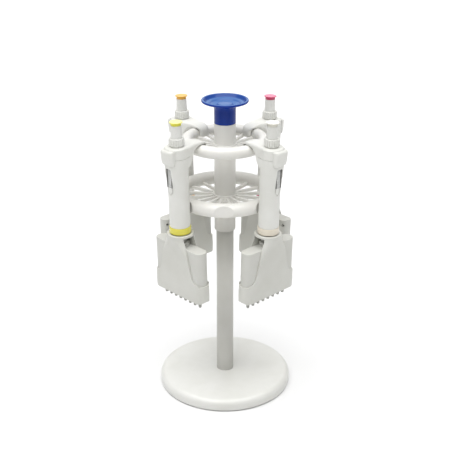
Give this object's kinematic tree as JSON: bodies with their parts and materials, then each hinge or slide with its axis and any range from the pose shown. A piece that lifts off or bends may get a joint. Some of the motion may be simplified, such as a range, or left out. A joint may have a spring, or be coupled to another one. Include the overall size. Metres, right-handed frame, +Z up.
{
  "type": "carousel stand with multichannel pipettes",
  "caption": "Round-based carousel stand with spoked rings and a dish knob, carrying hooked multichannel pipettes with push buttons, dials and tip ejectors.",
  "frame": {"origin": "bottom centre of the round base, on the surface that its feet stand on", "axes": "+Z up along the post; -Y towards the free notch between the yellow and the cream pipette"},
  "size_m": [0.1748, 0.1748, 0.394],
  "materials": {
    "stand_white": "satin moulded white",
    "post_white": "white powder coat",
    "knob_blue": "glossy blue",
    "cast_weight": "as cast",
    "foot_rubber": "soft black",
    "steel": "bright",
    "nylon": "natural nylon",
    "pipette_white": "fine satin moulding",
    "cover_white": "fine satin moulding",
    "stem_white": "smooth white",
    "window_clear": "clear lens",
    "counter_dark": "printed drum",
    "nozzle_grey": "grey polymer",
    "yellow_accent": "glossy yellow",
    "orange_accent": "glossy orange",
    "pink_accent": "glossy pink",
    "cream_accent": "glossy cream"
  },
  "bodies": {
    "stand": {"base_cover": "stand_white", "base_weight": "cast_weight", "base_feet": "foot_rubber", "base_bolt": "steel", "post": "post_white", "post_plug": "steel", "thrust_cap": "nylon"},
    "carousel": {"carousel_tube": "stand_white", "carousel_bushes": "nylon", "lower_ring": "stand_white", "upper_ring": "stand_white", "knob": "knob_blue"},
    "yellow_pipette": {"yellow_handle": "pipette_white", "yellow_window": "window_clear", "yellow_spring": "steel", "yellow_collar_ring": "yellow_accent"},
    "yellow_volume_dial": {"yellow_dial": "pipette_white"},
    "yellow_counter": {"yellow_counter_drum": "counter_dark"},
    "yellow_push_rod": {"yellow_plunger": "stem_white", "yellow_button": "yellow_accent"},
    "yellow_ejector": {"yellow_ejector_button": "pipette_white"},
    "yellow_lower_part": {"yellow_manifold": "pipette_white", "yellow_nozzles": "nozzle_grey"},
    "yellow_tip_ejector": {"yellow_ejector_cover": "cover_white"},
    "orange_pipette": {"orange_handle": "pipette_white", "orange_window": "window_clear", "orange_spring": "steel", "orange_collar_ring": "orange_accent"},
    "orange_volume_dial": {"orange_dial": "pipette_white"},
    "orange_counter": {"orange_counter_drum": "counter_dark"},
    "orange_push_rod": {"orange_plunger": "stem_white", "orange_button": "orange_accent"},
    "orange_ejector": {"orange_ejector_button": "pipette_white"},
    "orange_lower_part": {"orange_manifold": "pipette_white", "orange_nozzles": "nozzle_grey"},
    "orange_tip_ejector": {"orange_ejector_cover": "cover_white"},
    "pink_pipette": {"pink_handle": "pipette_white", "pink_window": "window_clear", "pink_spring": "steel", "pink_collar_ring": "pink_accent"},
    "pink_volume_dial": {"pink_dial": "pipette_white"},
    "pink_counter": {"pink_counter_drum": "counter_dark"},
    "pink_push_rod": {"pink_plunger": "stem_white", "pink_button": "pink_accent"},
    "pink_ejector": {"pink_ejector_button": "pipette_white"},
    "pink_lower_part": {"pink_manifold": "pipette_white", "pink_nozzles": "nozzle_grey"},
    "pink_tip_ejector": {"pink_ejector_cover": "cover_white"},
    "cream_pipette": {"cream_handle": "pipette_white", "cream_window": "window_clear", "cream_spring": "steel", "cream_collar_ring": "cream_accent"},
    "cream_volume_dial": {"cream_dial": "pipette_white"},
    "cream_counter": {"cream_counter_drum": "counter_dark"},
    "cream_push_rod": {"cream_plunger": "stem_white", "cream_button": "cream_accent"},
    "cream_ejector": {"cream_ejector_button": "pipette_white"},
    "cream_lower_part": {"cream_manifold": "pipette_white", "cream_nozzles": "nozzle_grey"},
    "cream_tip_ejector": {"cream_ejector_cover": "cover_white"}
  },
  "joints": [
    {"name": "carousel_turn", "type": "hinge", "parent": "stand", "child": "carousel", "pos_m": [0, 0, 0.3], "axis": [0, 0, 1], "continuous": true},
    {"name": "yellow_lift_off", "type": "slide", "parent": "carousel", "child": "yellow_pipette", "axis": [-0.1591, -0.1591, 0.9744], "range_m": [0, 0.28]},
    {"name": "yellow_dial_turn", "type": "hinge", "parent": "yellow_pipette", "child": "yellow_volume_dial", "pos_m": [-0.05656, -0.05656, 0.35791], "axis": [-0.021, -0.021, 0.9996], "continuous": true},
    {"name": "yellow_counter_turn", "type": "hinge", "parent": "yellow_pipette", "child": "yellow_counter", "pos_m": [-0.05566, -0.05566, 0.31493], "axis": [-0.021, -0.021, 0.9996], "continuous": true},
    {"name": "yellow_plunger_press", "type": "slide", "parent": "yellow_pipette", "child": "yellow_push_rod", "axis": [0.021, 0.021, -0.9996], "range_m": [0, 0.015], "stiffness_N_per_m": 300, "springref_m": -0.006, "deforming": ["yellow_spring"]},
    {"name": "yellow_ejector_press", "type": "slide", "parent": "yellow_pipette", "child": "yellow_ejector", "axis": [0.021, 0.021, -0.9996], "range_m": [0, 0.0055], "stiffness_N_per_m": 500, "springref_m": -0.004},
    {"name": "yellow_manifold_turn", "type": "hinge", "parent": "yellow_pipette", "child": "yellow_lower_part", "pos_m": [-0.05421, -0.05421, 0.24596], "axis": [-0.021, -0.021, 0.9996], "continuous": true},
    {"name": "yellow_cover_slide", "type": "slide", "parent": "yellow_lower_part", "child": "yellow_tip_ejector", "axis": [0.021, 0.021, -0.9996], "range_m": [0, 0.0055]},
    {"name": "orange_lift_off", "type": "slide", "parent": "carousel", "child": "orange_pipette", "axis": [-0.1591, 0.1591, 0.9744], "range_m": [0, 0.28]},
    {"name": "orange_dial_turn", "type": "hinge", "parent": "orange_pipette", "child": "orange_volume_dial", "pos_m": [-0.05656, 0.05656, 0.35791], "axis": [-0.021, 0.021, 0.9996], "continuous": true},
    {"name": "orange_counter_turn", "type": "hinge", "parent": "orange_pipette", "child": "orange_counter", "pos_m": [-0.05566, 0.05566, 0.31493], "axis": [-0.021, 0.021, 0.9996], "continuous": true},
    {"name": "orange_plunger_press", "type": "slide", "parent": "orange_pipette", "child": "orange_push_rod", "axis": [0.021, -0.021, -0.9996], "range_m": [0, 0.015], "stiffness_N_per_m": 300, "springref_m": -0.006, "deforming": ["orange_spring"]},
    {"name": "orange_ejector_press", "type": "slide", "parent": "orange_pipette", "child": "orange_ejector", "axis": [0.021, -0.021, -0.9996], "range_m": [0, 0.0055], "stiffness_N_per_m": 500, "springref_m": -0.004},
    {"name": "orange_manifold_turn", "type": "hinge", "parent": "orange_pipette", "child": "orange_lower_part", "pos_m": [-0.05421, 0.05421, 0.24596], "axis": [-0.021, 0.021, 0.9996], "continuous": true},
    {"name": "orange_cover_slide", "type": "slide", "parent": "orange_lower_part", "child": "orange_tip_ejector", "axis": [0.021, -0.021, -0.9996], "range_m": [0, 0.0055]},
    {"name": "pink_lift_off", "type": "slide", "parent": "carousel", "child": "pink_pipette", "axis": [0.1591, 0.1591, 0.9744], "range_m": [0, 0.28]},
    {"name": "pink_dial_turn", "type": "hinge", "parent": "pink_pipette", "child": "pink_volume_dial", "pos_m": [0.05656, 0.05656, 0.35791], "axis": [0.021, 0.021, 0.9996], "continuous": true},
    {"name": "pink_counter_turn", "type": "hinge", "parent": "pink_pipette", "child": "pink_counter", "pos_m": [0.05566, 0.05566, 0.31493], "axis": [0.021, 0.021, 0.9996], "continuous": true},
    {"name": "pink_plunger_press", "type": "slide", "parent": "pink_pipette", "child": "pink_push_rod", "axis": [-0.021, -0.021, -0.9996], "range_m": [0, 0.015], "stiffness_N_per_m": 300, "springref_m": -0.006, "deforming": ["pink_spring"]},
    {"name": "pink_ejector_press", "type": "slide", "parent": "pink_pipette", "child": "pink_ejector", "axis": [-0.021, -0.021, -0.9996], "range_m": [0, 0.0055], "stiffness_N_per_m": 500, "springref_m": -0.004},
    {"name": "pink_manifold_turn", "type": "hinge", "parent": "pink_pipette", "child": "pink_lower_part", "pos_m": [0.05421, 0.05421, 0.24596], "axis": [0.021, 0.021, 0.9996], "continuous": true},
    {"name": "pink_cover_slide", "type": "slide", "parent": "pink_lower_part", "child": "pink_tip_ejector", "axis": [-0.021, -0.021, -0.9996], "range_m": [0, 0.0055]},
    {"name": "cream_lift_off", "type": "slide", "parent": "carousel", "child": "cream_pipette", "axis": [0.1591, -0.1591, 0.9744], "range_m": [0, 0.28]},
    {"name": "cream_dial_turn", "type": "hinge", "parent": "cream_pipette", "child": "cream_volume_dial", "pos_m": [0.05656, -0.05656, 0.35791], "axis": [0.021, -0.021, 0.9996], "continuous": true},
    {"name": "cream_counter_turn", "type": "hinge", "parent": "cream_pipette", "child": "cream_counter", "pos_m": [0.05566, -0.05566, 0.31493], "axis": [0.021, -0.021, 0.9996], "continuous": true},
    {"name": "cream_plunger_press", "type": "slide", "parent": "cream_pipette", "child": "cream_push_rod", "axis": [-0.021, 0.021, -0.9996], "range_m": [0, 0.015], "stiffness_N_per_m": 300, "springref_m": -0.006, "deforming": ["cream_spring"]},
    {"name": "cream_ejector_press", "type": "slide", "parent": "cream_pipette", "child": "cream_ejector", "axis": [-0.021, 0.021, -0.9996], "range_m": [0, 0.0055], "stiffness_N_per_m": 500, "springref_m": -0.004},
    {"name": "cream_manifold_turn", "type": "hinge", "parent": "cream_pipette", "child": "cream_lower_part", "pos_m": [0.05421, -0.05421, 0.24596], "axis": [0.021, -0.021, 0.9996], "continuous": true},
    {"name": "cream_cover_slide", "type": "slide", "parent": "cream_lower_part", "child": "cream_tip_ejector", "axis": [-0.021, 0.021, -0.9996], "range_m": [0, 0.0055]}
  ],
  "couplings": [
    {"joint": "yellow_counter_turn", "follows": "yellow_dial_turn", "ratio": 1},
    {"joint": "yellow_cover_slide", "follows": "yellow_ejector_press", "ratio": 1},
    {"joint": "orange_counter_turn", "follows": "orange_dial_turn", "ratio": 1},
    {"joint": "orange_cover_slide", "follows": "orange_ejector_press", "ratio": 1},
    {"joint": "pink_counter_turn", "follows": "pink_dial_turn", "ratio": 1},
    {"joint": "pink_cover_slide", "follows": "pink_ejector_press", "ratio": 1},
    {"joint": "cream_counter_turn", "follows": "cream_dial_turn", "ratio": 1},
    {"joint": "cream_cover_slide", "follows": "cream_ejector_press", "ratio": 1}
  ]
}
